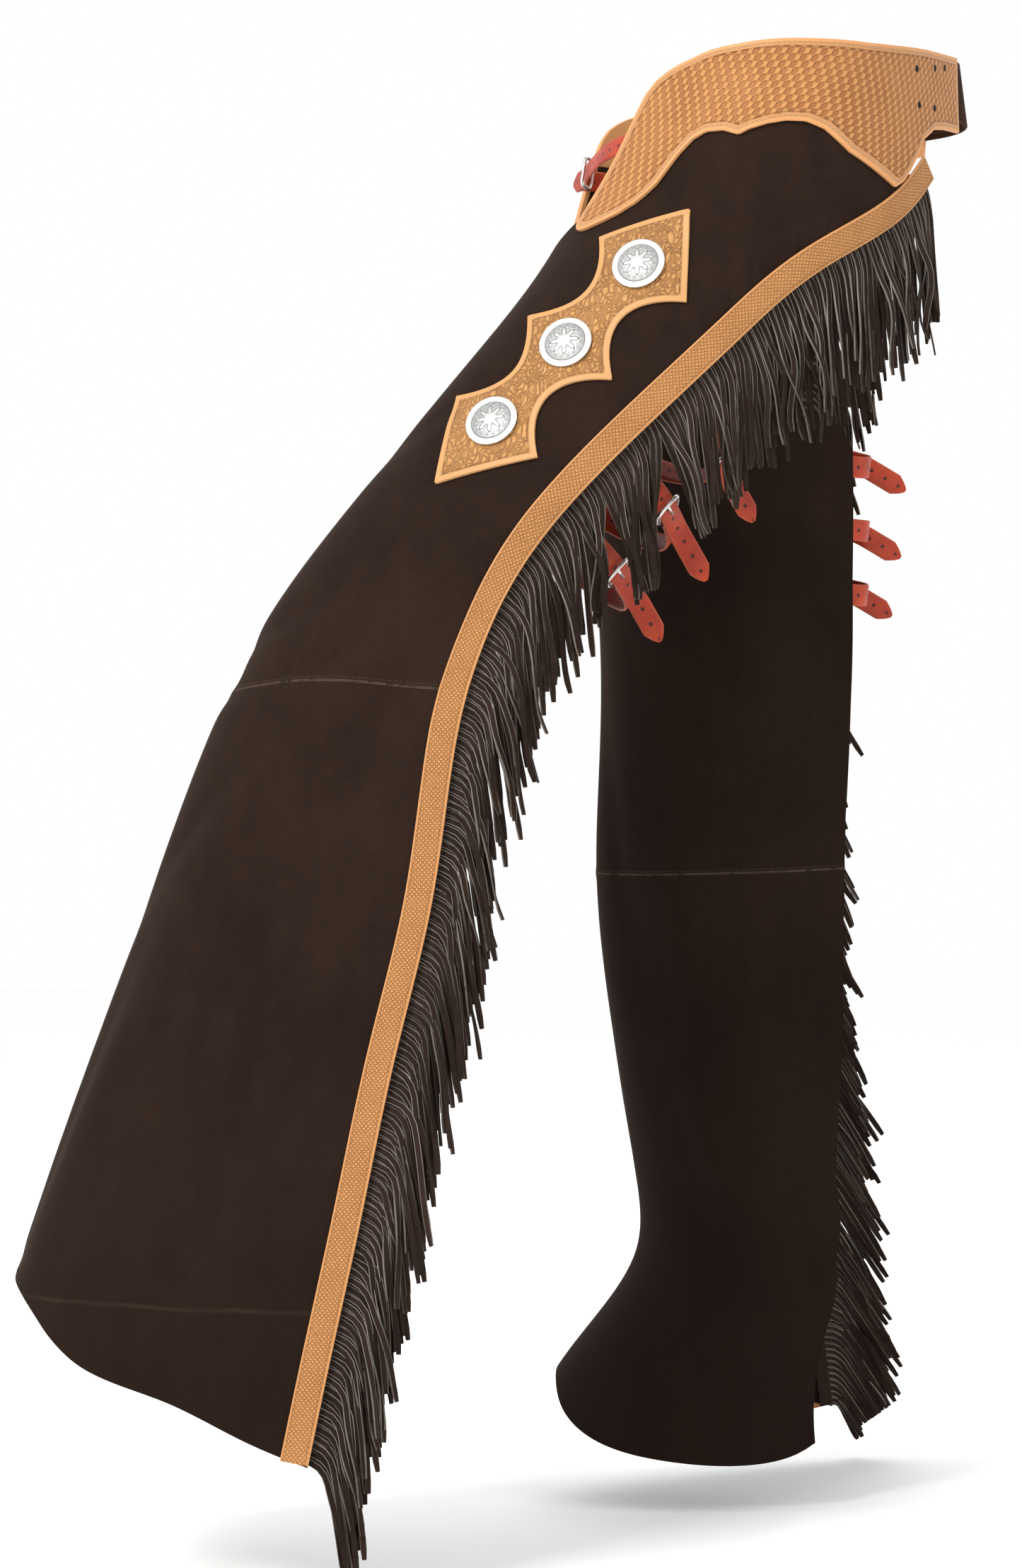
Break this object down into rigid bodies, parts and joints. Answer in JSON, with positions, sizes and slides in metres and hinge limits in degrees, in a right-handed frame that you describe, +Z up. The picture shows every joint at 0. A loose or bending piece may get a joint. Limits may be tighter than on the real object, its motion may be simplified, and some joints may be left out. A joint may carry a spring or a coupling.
{
  "type": "leather chaps",
  "caption": "Fringed suede chaps in a walking pose: tooled tan yokes, wing edging, conchos and buckled leg straps",
  "frame": {"origin": "centre of the waist ring, level with the middle of the back band, where the wearer's waist holds the chaps up", "axes": "+Z up, the wearer faces -Y, the wearer's left is +X"},
  "size_m": [0.6465, 0.7039, 1.0405],
  "materials": {
    "suede": "dark brown suede, matt, with the nap out",
    "fringe": "dark brown suede cut in narrow strands",
    "tooled": "tan leather stamped in a basket weave, smooth border, waxed",
    "edging": "tan leather edging, stamped and stitched in rows",
    "patch": "tan leather stamped with leaves and dots, plain stitched border",
    "red_strap": "red-orange strap leather, smooth, paler at its cut edges",
    "band": "dark brown smooth leather",
    "silver": "polished silver-coloured metal, engraved",
    "steel": "nickel-coloured wire, worn smooth"
  },
  "bodies": {
    "root": {"back_band": "band", "front_billet": "red_strap", "front_buckle": "steel", "front_chape": "red_strap", "left_billet_1": "red_strap", "left_buckle_1": "steel", "left_chape_1": "red_strap", "left_concho_1": "silver", "left_billet_2": "red_strap", "left_buckle_2": "steel", "left_chape_2": "red_strap", "left_concho_2": "silver", "left_billet_3": "red_strap", "left_buckle_3": "steel", "left_chape_3": "red_strap", "left_concho_3": "silver", "left_binding": "edging", "left_fringe": "fringe", "left_patch": "patch", "left_shin_panel": "suede", "left_thigh_panel": "suede", "left_yoke": "tooled", "right_billet_1": "red_strap", "right_buckle_1": "steel", "right_chape_1": "red_strap", "right_concho_1": "silver", "right_billet_2": "red_strap", "right_buckle_2": "steel", "right_chape_2": "red_strap", "right_concho_2": "silver", "right_billet_3": "red_strap", "right_buckle_3": "steel", "right_chape_3": "red_strap", "right_concho_3": "silver", "right_binding": "edging", "right_fringe": "fringe", "right_patch": "patch", "right_shin_panel": "suede", "right_thigh_panel": "suede", "right_yoke": "tooled"}
  },
  "joints": []
}
